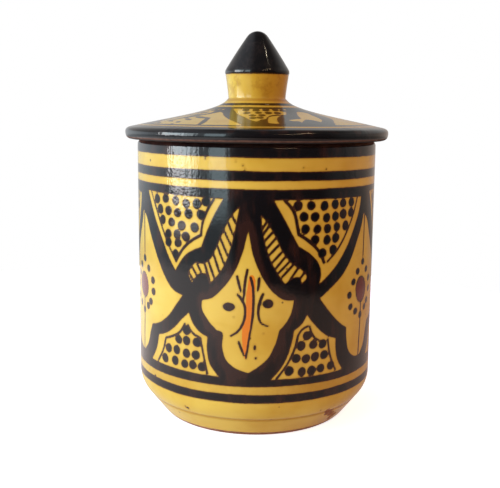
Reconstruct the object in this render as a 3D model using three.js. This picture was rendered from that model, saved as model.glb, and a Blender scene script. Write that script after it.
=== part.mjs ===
// A lidded herb pot of thrown and glazed earthenware: a straight-sided jar with a turned foot, and a low
// conical lid with a pointed knob. The lid's flange drops into the mouth and keeps the lid from sliding off.
// Each piece is one revolved profile. Millimetres, +Z up, origin on the axis at the plane of the foot.
import * as THREE from "three";

// The jar
const bodyRadius = 55;
const bodyHeight = 127.8;
const wallThickness = 5.5;
const floorThickness = 6;
const innerCornerRadius = 14;

// The turned foot, with a shallow recess inside its ring
const footRadius = 43;
const footRingWidth = 5.5;
const footRecess = 2;
const footRecessSlope = 1.2;
const footEdgeRise = 1.6;
const footEdgeFlare = 1.5;
const footEdgeInset = 0.8;

// The bevel from the foot up to the wall, and the line that the turning tool left on it
const bevelHeight = 15.2;
const bevelSoftness = 4.7;
const toolLineHeight = 10;
const toolLineWidth = 1.2;
const toolLineDepth = 0.35;

// The lip, rounded outside and inside, with a narrow flat between them that the lid sits on
const lipOuterRadius = 2.6;
const lipInnerRadius = 1.9;

// The finger marks that throwing left on the inside wall
const fingerMarkPitch = 18;
const fingerMarkDepth = 0.5;
const fingerMarkTopGap = 16;

// The lid's rolled edge
const lidOverhang = 5.5;
const lidEdgeThickness = 5.7;
const lidEdgeMiddle = 3.2;
const lidEdgeTopInset = 3.1;
const lidEdgeBottomInset = 2.3;
const lidEdgeShoulder = 0.4;

// The lid's cone, which starts low at the edge and sweeps up to the foot of the knob
const coneRise = 12.3;
const coneEdgeRun = 0.4;
const coneEdgeRise = 0.31;
const coneThroatRun = 0.15;
const coneThroatRise = 0.6;
const lidThickness = 6.2;
const lidCentreThickness = 9.5;

// The flange under the lid
const flangeClearance = 1.5;
const flangeThickness = 4.5;
const flangeDepth = 10;
const flangeTipRadius = 1.6;
const flangeRootRadius = 1;
const lidInnerCornerRadius = 3;

// The knob: a neck that widens upwards from a groove, under a blunt conical cap
const neckRadius = 13.3;
const neckGrooveDepth = 0.8;
const neckGrooveHeight = 0.7;
const neckHeight = 11.6;
const neckFlare = 1.2;
const neckWaist = 0.35;
const capOverhang = 0.4;
const capEdgeRadius = 1.3;
const capHeight = 19.1;
const capTipRadius = 6.2;

// Fineness
const turnSteps = 60;
const smallArcSteps = 3;
const largeArcSteps = 5;
const sweepSteps = 8;
const pointsPerFingerMark = 4;

// Places that follow from the sizes above
const mouthRadius = bodyRadius - wallThickness;
const floorTop = footRecess + floorThickness;
const bevelFoot = footRadius + footEdgeFlare;
const lidRadius = bodyRadius + lidOverhang;
const flangeOuterRadius = mouthRadius - flangeClearance;
const flangeInnerRadius = flangeOuterRadius - flangeThickness;
const neckFoot = lidEdgeThickness + coneRise;
const capFoot = neckFoot + neckHeight;
const neckTopRadius = neckRadius + neckFlare;
const capRadius = neckTopRadius + capOverhang;

const point = (radius, height) => new THREE.Vector2(radius, height);

// Points along an arc round a centre, between two angles in degrees: 0 is outwards and 90 is up.
function arc(centre, radius, fromDegrees, toDegrees, steps) {
  const from = THREE.MathUtils.degToRad(fromDegrees);
  const to = THREE.MathUtils.degToRad(toDegrees);
  return new THREE.EllipseCurve(centre.x, centre.y, radius, radius, from, to, to < from).getPoints(steps);
}

// Points along a curve that leaves one point towards a corner and comes to the other from that corner.
function rounded(from, corner, to, steps) {
  return new THREE.QuadraticBezierCurve(from, corner, to).getPoints(steps);
}

// The underside of the jar, out to the foot's softened edge.
function footProfile() {
  const recessRadius = footRadius - footRingWidth;
  return [
    point(0, footRecess),
    point(recessRadius - footRecessSlope, footRecess),
    point(recessRadius, 0),
    ...rounded(
      point(footRadius - footEdgeInset, 0),
      point(footRadius, 0),
      point(bevelFoot, footEdgeRise),
      smallArcSteps,
    ),
  ];
}

// The bevel, with the tool line cut square into it, and its soft turn into the wall.
function bevelProfile() {
  const start = point(bevelFoot, footEdgeRise);
  const corner = point(bodyRadius, bevelHeight);
  const along = corner.clone().sub(start).normalize();
  const inwards = point(-along.y, along.x);
  const lineCentre = start.clone().addScaledVector(along, (toolLineHeight - footEdgeRise) / along.y);
  return [
    lineCentre.clone().addScaledVector(along, -toolLineWidth / 2),
    lineCentre.clone().addScaledVector(inwards, toolLineDepth),
    lineCentre.clone().addScaledVector(along, toolLineWidth / 2),
    ...rounded(
      corner.clone().addScaledVector(along, -bevelSoftness),
      corner,
      point(bodyRadius, bevelHeight + bevelSoftness),
      largeArcSteps,
    ),
  ];
}

// The lip, from the outside wall over the top and down into the mouth.
function lipProfile() {
  const outerCentre = point(bodyRadius - lipOuterRadius, bodyHeight - lipOuterRadius);
  const innerCentre = point(mouthRadius + lipInnerRadius, bodyHeight - lipInnerRadius);
  return [
    ...arc(outerCentre, lipOuterRadius, 0, 90, largeArcSteps),
    ...arc(innerCentre, lipInnerRadius, 90, 180, smallArcSteps),
  ];
}

// The inside wall, downwards: each finger mark is one cosine hollow in it.
function insideWallProfile() {
  const top = bodyHeight - fingerMarkTopGap;
  const bottom = floorTop + innerCornerRadius;
  const marks = Math.max(1, Math.round((top - bottom) / fingerMarkPitch));
  const steps = marks * pointsPerFingerMark;
  const profile = [];
  for (let i = 0; i <= steps; i += 1) {
    const hollow = (1 - Math.cos((2 * Math.PI * i) / pointsPerFingerMark)) / 2;
    const height = THREE.MathUtils.lerp(top, bottom, i / steps);
    profile.push(point(mouthRadius + fingerMarkDepth * hollow, height));
  }
  return profile;
}

// The round corner from the inside wall into the floor, and the floor's centre.
function floorProfile() {
  const cornerCentre = point(mouthRadius - innerCornerRadius, floorTop + innerCornerRadius);
  return [
    ...arc(cornerCentre, innerCornerRadius, 0, -90, largeArcSteps).slice(1),
    point(0, floorTop),
  ];
}

function jarProfile() {
  return [...footProfile(), ...bevelProfile(), ...lipProfile(), ...insideWallProfile(), ...floorProfile()];
}

// The lid's heights are from the flat that sits on the lip.

// The cone's top, from the rolled edge in to the groove under the knob.
function coneProfile() {
  const edge = point(lidRadius - lidEdgeTopInset, lidEdgeThickness);
  const throat = point(neckRadius + neckGrooveDepth, neckFoot);
  const run = edge.x - throat.x;
  const sweep = new THREE.CubicBezierCurve(
    edge,
    point(edge.x - run * coneEdgeRun, edge.y + coneRise * coneEdgeRise),
    point(throat.x + run * coneThroatRun, edge.y + coneRise * coneThroatRise),
    throat,
  );
  return sweep.getPoints(sweepSteps);
}

// The height of the cone's top at a radius.
function coneHeight(radius) {
  const cone = coneProfile();
  const next = cone.findIndex((place) => place.x <= radius);
  const outer = cone[next - 1];
  const inner = cone[next];
  return THREE.MathUtils.mapLinear(radius, outer.x, inner.x, outer.y, inner.y);
}

// The underside: a smooth hollow like an upturned bowl, with a round corner into the flange.
function lidHollowProfile() {
  const cornerStart = flangeInnerRadius - lidInnerCornerRadius;
  const cornerHeight = coneHeight(cornerStart) - lidThickness;
  const centreHeight = neckFoot - lidCentreThickness;
  return [
    ...rounded(
      point(0, centreHeight),
      point(cornerStart / 2, centreHeight),
      point(cornerStart, cornerHeight),
      smallArcSteps,
    ),
    ...rounded(
      point(cornerStart, cornerHeight),
      point(flangeInnerRadius, cornerHeight),
      point(flangeInnerRadius, cornerHeight - lidInnerCornerRadius),
      smallArcSteps,
    ).slice(1),
  ];
}

// The flange, round at its tip, and the root where it meets the flat that sits on the lip.
function flangeProfile() {
  const tipHeight = flangeTipRadius - flangeDepth;
  const tipInnerCentre = point(flangeInnerRadius + flangeTipRadius, tipHeight);
  const tipOuterCentre = point(flangeOuterRadius - flangeTipRadius, tipHeight);
  const rootCentre = point(flangeOuterRadius + flangeRootRadius, -flangeRootRadius);
  return [
    ...arc(tipInnerCentre, flangeTipRadius, 180, 270, smallArcSteps),
    ...arc(tipOuterCentre, flangeTipRadius, 270, 360, smallArcSteps),
    ...arc(rootCentre, flangeRootRadius, 180, 90, smallArcSteps),
  ];
}

// The rolled edge, a little fuller above its middle.
function lidEdgeProfile() {
  const middle = point(lidRadius, lidEdgeMiddle);
  return [
    ...rounded(point(lidRadius - lidEdgeBottomInset, 0), point(lidRadius, 0), middle, largeArcSteps),
    ...rounded(
      middle,
      point(lidRadius, lidEdgeThickness - lidEdgeShoulder),
      point(lidRadius - lidEdgeTopInset, lidEdgeThickness),
      largeArcSteps,
    ).slice(1),
  ];
}

// The neck, from its groove up to the cap.
function neckProfile() {
  return rounded(
    point(neckRadius, neckFoot + neckGrooveHeight),
    point(neckRadius + neckFlare / 2 - neckWaist, neckFoot + neckHeight / 2),
    point(neckTopRadius, capFoot),
    smallArcSteps,
  );
}

// The cap: a small overhang, a straight cone and the round tip that the cone runs into.
function capProfile() {
  const edge = point(capRadius, capFoot + capEdgeRadius);
  const tipCentre = point(0, capFoot + capHeight - capTipRadius);
  const fromTip = edge.clone().sub(tipCentre);
  const tangent = Math.atan2(fromTip.y, fromTip.x) + Math.acos(capTipRadius / fromTip.length());
  const tip = arc(tipCentre, capTipRadius, THREE.MathUtils.radToDeg(tangent), 90, largeArcSteps);
  const coneTop = tip[0];
  const edgeShare = capEdgeRadius / edge.distanceTo(coneTop);
  return [
    ...rounded(
      point(capRadius - capOverhang / 2, capFoot),
      point(capRadius, capFoot),
      edge.clone().lerp(coneTop, edgeShare),
      largeArcSteps,
    ),
    ...tip,
  ];
}

function lidProfile() {
  return [
    ...lidHollowProfile(),
    ...flangeProfile(),
    ...lidEdgeProfile(),
    ...coneProfile().slice(1),
    ...neckProfile(),
    ...capProfile(),
  ];
}

const glazedClay = { roughness: 0.16, metalness: 0 };
const jarGlaze = new THREE.MeshStandardMaterial({ color: 0xd9a72e, ...glazedClay });
const lidGlaze = new THREE.MeshStandardMaterial({ color: 0x2a2522, ...glazedClay });

// Revolves a profile, which starts and ends on the axis, round the vertical.
function revolved(name, profile, material) {
  profile.at(0).x = 0;
  profile.at(-1).x = 0;
  const mesh = new THREE.Mesh(new THREE.LatheGeometry(profile, turnSteps).rotateX(Math.PI / 2), material);
  mesh.name = name;
  return mesh;
}

const jar = revolved("jar", jarProfile(), jarGlaze);
const lid = revolved("lid", lidProfile(), lidGlaze);
lid.position.z = bodyHeight;

const herbPot = new THREE.Group();
herbPot.add(jar, lid);

export default herbPot;
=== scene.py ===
# The looks of a lidded herb pot: a glazed earthenware jar and its lid, with the pattern painted on them.
# The sizes, profiles and patterns are in millimetres, and every Blender object is in metres.
# A place on the jar is (degrees from the front, positive to the right; millimetres up).
# A place on the lid is (degrees from the front; millimetres from the axis).
import math
import bpy
import numpy as np
from mathutils import Matrix


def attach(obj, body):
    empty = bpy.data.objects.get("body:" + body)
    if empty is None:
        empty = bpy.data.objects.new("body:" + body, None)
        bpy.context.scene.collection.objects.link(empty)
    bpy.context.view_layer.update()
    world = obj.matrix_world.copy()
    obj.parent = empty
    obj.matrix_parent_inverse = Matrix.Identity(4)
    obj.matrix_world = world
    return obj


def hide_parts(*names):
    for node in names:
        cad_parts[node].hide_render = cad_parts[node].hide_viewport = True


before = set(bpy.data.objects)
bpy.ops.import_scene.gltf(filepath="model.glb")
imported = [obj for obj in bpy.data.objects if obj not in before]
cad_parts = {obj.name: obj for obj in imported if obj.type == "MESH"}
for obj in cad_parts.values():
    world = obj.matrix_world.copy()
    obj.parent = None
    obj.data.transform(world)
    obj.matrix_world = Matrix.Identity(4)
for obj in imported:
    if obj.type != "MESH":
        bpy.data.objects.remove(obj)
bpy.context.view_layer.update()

MM = 0.001

# The jar's sizes
BODY_RADIUS = 55.0
BODY_HEIGHT = 127.8
WALL_THICKNESS = 5.5
FLOOR_THICKNESS = 6.0
FLOOR_CORNER = 14.0
FOOT_RADIUS = 43.0
FOOT_RING_WIDTH = 5.5
FOOT_RECESS = 2.0
RECESS_SLOPE = 1.2
RECESS_FLAT_END = 0.6
RECESS_TURN = 0.5
FOOT_EDGE_RISE = 1.6
FOOT_EDGE_FLARE = 1.5
FOOT_EDGE_INSET = 0.8
BEVEL_HEIGHT = 15.2
BEVEL_SOFTNESS = 4.7
TOOL_LINE_HEIGHT = 10.0
TOOL_LINE_WIDTH = 1.2
TOOL_LINE_SPREAD = 0.7
TOOL_LINE_DEPTH = 0.35
LIP_OUTER_RADIUS = 2.6
LIP_INNER_RADIUS = 1.9
FINGER_MARK_PITCH = 18.0
FINGER_MARK_DEPTH = 0.5
FINGER_MARK_TOP_GAP = 16.0

# The lid's sizes, some up to half a millimetre off the solids', as the photo's outline asks
LID_OVERHANG = 5.5
LID_EDGE_THICKNESS = 5.7
LID_EDGE_MIDDLE = 3.2
LID_EDGE_TOP_INSET = 3.1
LID_EDGE_BOTTOM_INSET = 2.9
LID_EDGE_SHOULDER = 0.4
CONE_RISE = 11.9
CONE_EDGE_RUN = 0.42
CONE_EDGE_RISE = 0.35
CONE_THROAT_RUN = 0.1
CONE_THROAT_RISE = 0.6
LID_THICKNESS = 6.2
LID_CENTRE_THICKNESS = 9.5
FLANGE_CLEARANCE = 1.5
FLANGE_THICKNESS = 4.5
FLANGE_DEPTH = 10.0
FLANGE_TIP = 1.6
FLANGE_ROOT = 1.0
HOLLOW_CORNER = 3.0
NECK_RADIUS = 13.2
NECK_GROOVE_DEPTH = 0.8
NECK_GROOVE_HEIGHT = 0.9
NECK_HEIGHT = 12.0
NECK_FLARE = 1.4
NECK_BEND_HEIGHT = 3.0
NECK_BEND_INSET = 0.05
CAP_OVERHANG = 0.2
CAP_LIP_RISE = 0.4
CAP_EDGE_HEIGHT = 1.7
CAP_EDGE_INSET = 0.16
CAP_EDGE_START = (0.04, 0.7)
CAP_EDGE_TURN = 1.9
CAP_HEIGHT = 19.1
CAP_TIP_RADIUS = 5.9
CAP_BULGE = (0.22, 0.15)

MOUTH_RADIUS = BODY_RADIUS - WALL_THICKNESS
FLOOR_TOP = FOOT_RECESS + FLOOR_THICKNESS
BEVEL_FOOT = FOOT_RADIUS + FOOT_EDGE_FLARE
LID_RADIUS = BODY_RADIUS + LID_OVERHANG
FLANGE_OUTER = MOUTH_RADIUS - FLANGE_CLEARANCE
FLANGE_INNER = FLANGE_OUTER - FLANGE_THICKNESS
NECK_FOOT = LID_EDGE_THICKNESS + CONE_RISE
CAP_FOOT = NECK_FOOT + NECK_HEIGHT
NECK_TOP_RADIUS = NECK_RADIUS + NECK_FLARE
CAP_RADIUS = NECK_TOP_RADIUS + CAP_OVERHANG
MM_PER_DEGREE = math.pi / 180 * BODY_RADIUS


# Profiles

def arc(centre, radius, start, end, steps=24):
    """Points round a centre between two angles in degrees: 0 is outwards and 90 is up."""
    turn = np.radians(np.linspace(start, end, steps + 1))
    return np.stack([centre[0] + radius * np.cos(turn), centre[1] + radius * np.sin(turn)], 1)


def rounded(start, corner, end, steps=16):
    """A curve that leaves start towards corner and comes to end from there."""
    t = np.linspace(0, 1, steps + 1)[:, None]
    start, corner, end = np.array(start), np.array(corner), np.array(end)
    return (1 - t) ** 2 * start + 2 * t * (1 - t) * corner + t ** 2 * end


def jar_profile():
    """From under the foot, up the outside and down the inside."""
    recess = FOOT_RADIUS - FOOT_RING_WIDTH
    slope_start = recess - RECESS_SLOPE
    start = np.array([BEVEL_FOOT, FOOT_EDGE_RISE])
    corner = np.array([BODY_RADIUS, BEVEL_HEIGHT])
    along = (corner - start) / np.linalg.norm(corner - start)
    inwards = np.array([-along[1], along[0]])
    line = start + along * (TOOL_LINE_HEIGHT - FOOT_EDGE_RISE) / along[1]
    groove = []
    for t in np.linspace(-1, 1, 13):
        dip = TOOL_LINE_DEPTH * (1 + math.cos(math.pi * t)) / 2
        groove.append(line + along * t * TOOL_LINE_WIDTH * TOOL_LINE_SPREAD + inwards * dip)
    top = BODY_HEIGHT - FINGER_MARK_TOP_GAP
    bottom = FLOOR_TOP + FLOOR_CORNER
    marks = max(1, round((top - bottom) / FINGER_MARK_PITCH))
    share = np.linspace(0, 1, marks * 12 + 1)
    hollow = FINGER_MARK_DEPTH * (1 - np.cos(2 * np.pi * marks * share)) / 2
    inside = np.stack([MOUTH_RADIUS + hollow, top + (bottom - top) * share], 1)
    return np.concatenate([
        [(0.0, FOOT_RECESS), (slope_start - RECESS_FLAT_END, FOOT_RECESS)],
        rounded((slope_start - RECESS_TURN, FOOT_RECESS), (slope_start, FOOT_RECESS),
                (recess - RECESS_SLOPE / 2, FOOT_RECESS / 2), 6),
        rounded((recess - RECESS_TURN / 2, FOOT_RECESS / 5), (recess, 0.0),
                (recess + RECESS_TURN, 0.0), 6),
        rounded((FOOT_RADIUS - FOOT_EDGE_INSET, 0.0), (FOOT_RADIUS, 0.0), start),
        groove,
        rounded(corner - along * BEVEL_SOFTNESS, corner, corner + (0, BEVEL_SOFTNESS)),
        arc((BODY_RADIUS - LIP_OUTER_RADIUS, BODY_HEIGHT - LIP_OUTER_RADIUS), LIP_OUTER_RADIUS, 0, 90),
        arc((MOUTH_RADIUS + LIP_INNER_RADIUS, BODY_HEIGHT - LIP_INNER_RADIUS), LIP_INNER_RADIUS, 90, 180),
        inside,
        arc((MOUTH_RADIUS - FLOOR_CORNER, bottom), FLOOR_CORNER, 0, -90),
        [(0.0, FLOOR_TOP)],
    ])


def cone_profile():
    """The lid's cone, from the rolled edge to the groove under the knob."""
    edge = np.array([LID_RADIUS - LID_EDGE_TOP_INSET, LID_EDGE_THICKNESS])
    throat = np.array([NECK_RADIUS + NECK_GROOVE_DEPTH, NECK_FOOT])
    run = edge[0] - throat[0]
    first = edge + (-run * CONE_EDGE_RUN, CONE_RISE * CONE_EDGE_RISE)
    second = np.array([throat[0] + run * CONE_THROAT_RUN, edge[1] + CONE_RISE * CONE_THROAT_RISE])
    t = np.linspace(0, 1, 97)[:, None]
    return ((1 - t) ** 3 * edge + 3 * (1 - t) ** 2 * t * first
            + 3 * (1 - t) * t ** 2 * second + t ** 3 * throat)


def cone_top(radius):
    """The cone's height at distances from the axis."""
    cone = cone_profile()
    return np.interp(radius, cone[::-1, 0], cone[::-1, 1])


def lid_profile():
    """From the hollow's middle out to the rolled edge and in to the knob's tip."""
    cone = cone_profile()
    corner_start = FLANGE_INNER - HOLLOW_CORNER
    corner_height = cone_top(corner_start) - LID_THICKNESS
    centre_height = NECK_FOOT - LID_CENTRE_THICKNESS
    tip_height = FLANGE_TIP - FLANGE_DEPTH
    middle = (LID_RADIUS, LID_EDGE_MIDDLE)
    cap_start = (CAP_RADIUS, CAP_FOOT + CAP_LIP_RISE)
    cap_edge = np.array([CAP_RADIUS - CAP_EDGE_INSET, CAP_FOOT + CAP_EDGE_HEIGHT])
    edge_start = (CAP_RADIUS - CAP_EDGE_START[0], cap_edge[1] - CAP_EDGE_START[1])
    tip_centre = np.array([0.0, CAP_FOOT + CAP_HEIGHT - CAP_TIP_RADIUS])
    from_tip = cap_edge - tip_centre
    heading = math.atan2(from_tip[1], from_tip[0])
    tangent = heading + math.acos(CAP_TIP_RADIUS / np.linalg.norm(from_tip))
    tip = arc(tip_centre, CAP_TIP_RADIUS, math.degrees(tangent), 90)
    edge_share = CAP_EDGE_TURN / np.linalg.norm(cap_edge - tip[0])
    turn_end = cap_edge + (tip[0] - cap_edge) * edge_share
    groove_foot = (NECK_RADIUS, NECK_FOOT + NECK_GROOVE_HEIGHT)
    neck_bend = (NECK_RADIUS + NECK_BEND_INSET, NECK_FOOT + NECK_BEND_HEIGHT)
    profile = np.concatenate([
        rounded((0.0, centre_height), (corner_start / 2, centre_height), (corner_start, corner_height)),
        rounded((corner_start, corner_height), (FLANGE_INNER, corner_height),
                (FLANGE_INNER, corner_height - HOLLOW_CORNER)),
        arc((FLANGE_INNER + FLANGE_TIP, tip_height), FLANGE_TIP, 180, 270),
        arc((FLANGE_OUTER - FLANGE_TIP, tip_height), FLANGE_TIP, 270, 360),
        arc((FLANGE_OUTER + FLANGE_ROOT, -FLANGE_ROOT), FLANGE_ROOT, 180, 90),
        rounded((LID_RADIUS - LID_EDGE_BOTTOM_INSET, 0.0), (LID_RADIUS, 0.0), middle),
        rounded(middle, (LID_RADIUS, LID_EDGE_THICKNESS - LID_EDGE_SHOULDER), cone[0]),
        cone[1:-6],
        rounded(cone[-6], cone[-1], groove_foot, 10),
        rounded(groove_foot, neck_bend, (NECK_TOP_RADIUS, CAP_FOOT), 24),
        rounded((CAP_RADIUS - CAP_OVERHANG / 2, CAP_FOOT), (CAP_RADIUS, CAP_FOOT), cap_start, 6),
        rounded(edge_start, cap_edge, turn_end, 10),
        rounded(turn_end, (turn_end + tip[0]) / 2 + CAP_BULGE, tip[0], 24),
        tip,
    ])
    profile[-1, 0] = 0.0
    return profile + (0.0, BODY_HEIGHT)


# How finely a profile is followed, how close its rings come and how far it turns between them
FINE_STEP = 0.05
CLOSEST_RINGS = 0.12
LARGEST_TURN = 11.0


def looked_up(rules, radius, height):
    for least, most, low, high, value in rules:
        if least < radius < most and low < height < high:
            return value


def rings_along(profile, spacing, columns):
    """Rings as (radius, height, columns), closer where the profile bends."""
    dense = [profile[0]]
    for start, end in zip(profile[:-1], profile[1:]):
        length = np.linalg.norm(end - start)
        if length < 1e-6:
            continue
        for share in np.linspace(0, 1, max(2, int(length / FINE_STEP) + 1))[1:]:
            dense.append(start + (end - start) * share)
    dense = np.array(dense)
    steps = np.diff(dense, axis=0)
    lengths = np.linalg.norm(steps, axis=1)
    headings = np.unwrap(np.arctan2(steps[:, 1], steps[:, 0]))
    rings = [0]
    travelled = 0.0
    for i in range(1, len(dense) - 1):
        travelled += lengths[i - 1]
        turned = abs(math.degrees(headings[i] - headings[rings[-1]]))
        bends = turned > LARGEST_TURN and travelled > CLOSEST_RINGS
        if travelled >= looked_up(spacing, *dense[i]) or bends:
            rings.append(i)
            travelled = 0.0
    rings.append(len(dense) - 1)
    counts = [looked_up(columns, *dense[i]) for i in rings]
    for i in range(1, len(counts)):
        counts[i] = min(counts[i], counts[i - 1] * 2)
    for i in range(len(counts) - 2, -1, -1):
        counts[i] = min(counts[i], counts[i + 1] * 2)
    return [(dense[i][0], dense[i][1], count) for i, count in zip(rings, counts)]


def from_above(turn, radius):
    """Places as seen from above, at angles in radians from the front."""
    return np.stack([radius * np.sin(turn), -radius * np.cos(turn)], 1)


def linked(name, data):
    piece = bpy.data.objects.new(name, data)
    bpy.context.scene.collection.objects.link(piece)
    return piece


def revolved(name, rings):
    """A closed mesh turned from rings, and its points' places."""
    places, starts, faces = [], [], []
    total = 0
    for i, (radius, height, count) in enumerate(rings):
        if i in (0, len(rings) - 1):
            radius, count = 0.0, 1
        starts.append((total, count))
        places += [(j * 360.0 / count - 180.0, radius, height) for j in range(count)]
        total += count
    for (low, low_count), (high, high_count) in zip(starts[:-1], starts[1:]):
        if low_count == 1:
            faces += [(low, high + (j + 1) % high_count, high + j) for j in range(high_count)]
        elif high_count == 1:
            faces += [(low + j, low + (j + 1) % low_count, high) for j in range(low_count)]
        elif low_count == high_count:
            n = low_count
            faces += [(low + j, low + (j + 1) % n, high + (j + 1) % n, high + j) for j in range(n)]
        else:
            doubling = low_count < high_count
            coarse, fine = (low, high) if doubling else (high, low)
            n = min(low_count, high_count)
            for j in range(n):
                a, b = coarse + j, coarse + (j + 1) % n
                c, d, e = fine + 2 * j, fine + 2 * j + 1, fine + (2 * j + 2) % (2 * n)
                corners = [(a, d, c), (a, b, d), (b, e, d)]
                faces += corners if doubling else [face[::-1] for face in corners]
    angle, radius, height = np.array(places).T
    points = np.column_stack([from_above(np.radians(angle), radius), height])
    mesh = bpy.data.meshes.new(name)
    mesh.from_pydata((points * MM).tolist(), [], faces)
    mesh.validate()
    mesh.shade_smooth()
    return linked(name, mesh), (angle, radius, height)


# Painting: signed distances in millimetres, positive inside the paint

FAR = 4.0
PLACES_AT_A_TIME = 6000


def smooth_line(points, step=0.6):
    """A smooth curve through points, as a fine polyline."""
    if len(points) == 2:
        return points
    gaps = np.linalg.norm(np.diff(points, axis=0), axis=1)
    rates = np.diff(points, axis=0) / gaps[:, None]
    before, after = gaps[:-1, None], gaps[1:, None]
    middle = (before * rates[1:] + after * rates[:-1]) / (before + after)
    first = 1.5 * rates[:1] - 0.5 * middle[:1]
    last = 1.5 * rates[-1:] - 0.5 * middle[-1:]
    slopes = np.concatenate([first, middle, last])
    line = [points[:1]]
    for i, gap in enumerate(gaps):
        t = np.linspace(0, 1, max(2, math.ceil(gap / step)) + 1)[1:, None]
        line.append(points[i] * (1 + 2 * t) * (1 - t) ** 2 + points[i + 1] * t ** 2 * (3 - 2 * t)
                    + gap * (slopes[i] * t * (1 - t) ** 2 - slopes[i + 1] * t ** 2 * (1 - t)))
    return np.concatenate(line)


def outline(place_on, runs):
    """A closed outline of smooth runs: each starts where the one before it ended."""
    points = []
    last = runs[-1][-1:]
    for run in runs:
        points.append(smooth_line(place_on(last + run))[:-1])
        last = run[-1:]
    return np.concatenate(points)


def nearest(places, line):
    """Each place's distance from a polyline and share of the way along it."""
    starts, steps = line[:-1], np.diff(line, axis=0)
    lengths = np.maximum(np.linalg.norm(steps, axis=1), 1e-9)
    before = np.concatenate([[0.0], np.cumsum(lengths)[:-1]])
    distances = np.empty(len(places))
    shares = np.empty(len(places))
    for first in range(0, len(places), PLACES_AT_A_TIME):
        part = places[first:first + PLACES_AT_A_TIME]
        offset = part[:, None, :] - starts[None]
        t = np.clip((offset * steps).sum(2) / lengths ** 2, 0, 1)
        gap = np.linalg.norm(offset - t[..., None] * steps, axis=2)
        best = gap.argmin(1)
        rows = np.arange(len(part))
        distances[first:first + len(part)] = gap[rows, best]
        shares[first:first + len(part)] = (before[best] + t[rows, best] * lengths[best]) / lengths.sum()
    return distances, shares


def near(places, line, margin):
    low, high = line.min(0) - margin, line.max(0) + margin
    return np.nonzero(((places > low) & (places < high)).all(1))[0]


def add_area(field, places, ring, reach=FAR):
    """Adds the inside of a closed outline."""
    chosen = near(places, ring, reach)
    closed = np.concatenate([ring, ring[:1]])
    part = places[chosen]
    distance, _ = nearest(part, closed)
    inside = np.zeros(len(part), bool)
    for (x0, y0), (x1, y1) in zip(closed[:-1], closed[1:]):
        if y0 == y1:
            continue
        crosses = (y0 > part[:, 1]) != (y1 > part[:, 1])
        inside ^= crosses & (part[:, 0] < x0 + (part[:, 1] - y0) * (x1 - x0) / (y1 - y0))
    field[chosen] = np.maximum(field[chosen], np.where(inside, distance, -distance))


def add_stroke(field, places, points, width, end_width=None, taper=0.0):
    """Adds a brush stroke, which may taper at both ends."""
    line = smooth_line(points)
    chosen = near(places, line, FAR)
    distance, share = nearest(places[chosen], line)
    end_width = width if end_width is None else end_width
    half = (width + (end_width - width) * share) / 2 * (1 - taper * np.abs(2 * share - 1) ** 3)
    field[chosen] = np.maximum(field[chosen], half - distance)


def phase(hand, count=None):
    return hand.uniform(0, 6.28, count)


def add_dot(field, places, centre, half_width, half_height, seed):
    """Adds a dot of the brush, a little uneven in size and outline."""
    chosen = near(places, np.array([centre, centre], float), FAR + half_width)
    hand = np.random.default_rng(seed)
    offset = places[chosen] - centre
    turn = np.arctan2(offset[:, 1] / half_height, offset[:, 0] / half_width)
    size = 1 + hand.uniform(-0.05, 0.05)
    for lobes, depth in ((2, 0.03), (3, 0.02)):
        size = size + depth * np.cos(lobes * turn + phase(hand))
    scaled = np.hypot(offset[:, 0] / half_width, offset[:, 1] / half_height)
    field[chosen] = np.maximum(field[chosen], (size - scaled) * min(half_width, half_height))


def add_dots(field, places, centres, half_width, half_height, seed):
    for number, centre in enumerate(centres):
        add_dot(field, places, centre, half_width, half_height, seed + number)


def unpainted(places, *names):
    return {name: np.full(len(places), -FAR) for name in names}


def clipped(field):
    return np.clip(field, -FAR, FAR)


def lengthened(stroke, extra):
    start, end = stroke
    along = (end - start) / np.linalg.norm(end - start) * extra
    return np.array([start - along, end + along])


def on_jar(points):
    """Places on the jar, as millimetres both ways."""
    return np.array(points) * (MM_PER_DEGREE, 1)


def on_lid(points):
    """Places on the lid, as seen from above."""
    angle, radius = np.transpose(points)
    return from_above(np.radians(angle), radius)


# The jar's pattern: a unit that comes three times round the jar, with a flower between each two. The photo
# shows the unit between the two flowers here, and the rest of the jar has two narrower ones.
UNIT_MIDDLE = -3.5
FLOWER_LEFT = -65.2
FLOWER_RIGHT = 58.5
UNIT_WIDTH = 124.0
PATTERN_REACH = 66

INNER_CELL = [
    [(-4.5, 88.5), (-6.6, 81.5), (-10.2, 73.9), (-15, 67.8), (-19.5, 63.9), (-24.1, 62.6)],
    [(-24, 58.5), (-21.5, 54.6), (-17, 50.3)],
    [(-15.1, 49.8), (-14.6, 43.5), (-12.9, 37.8), (-9, 34.6), (-3, 32.6)],
    [(1.4, 35.4), (5.2, 38.7), (8.2, 44), (10.2, 50.8)],
    [(12.5, 53.1), (15.4, 57.8), (16.6, 63.4)],
    [(12.4, 63.7), (8.2, 66.3), (4.4, 70.6), (1.2, 76.2), (-1.2, 82), (-2.7, 88.5), (-3.5, 93.2)],
]
LEFT_LEAF = [
    [(-11.2, 97.8), (-14.4, 91.6), (-17.5, 84.7), (-20.3, 80.1), (-23.5, 78), (-27.2, 78.1),
     (-29.8, 75.3), (-30.9, 72.8), (-29, 69.6)],
    [(-27.4, 72), (-24.6, 74.1), (-22.3, 73.9), (-20.4, 70.1)],
    [(-17.3, 73.2), (-13.6, 78.7), (-11.2, 85.2), (-9.4, 92.5), (-7.5, 101.9)],
]
RIGHT_LEAF = [
    [(4.8, 95.5), (9, 88.2), (12.5, 82), (15.8, 78.6), (20, 75.9), (22.4, 72.8), (20.2, 70.5)],
    [(18.8, 73), (15.8, 72.8), (12.7, 70.5)],
    [(9.2, 75), (6.1, 80.8), (3.8, 87), (2.5, 93.4), (2, 98.7)],
]
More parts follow.
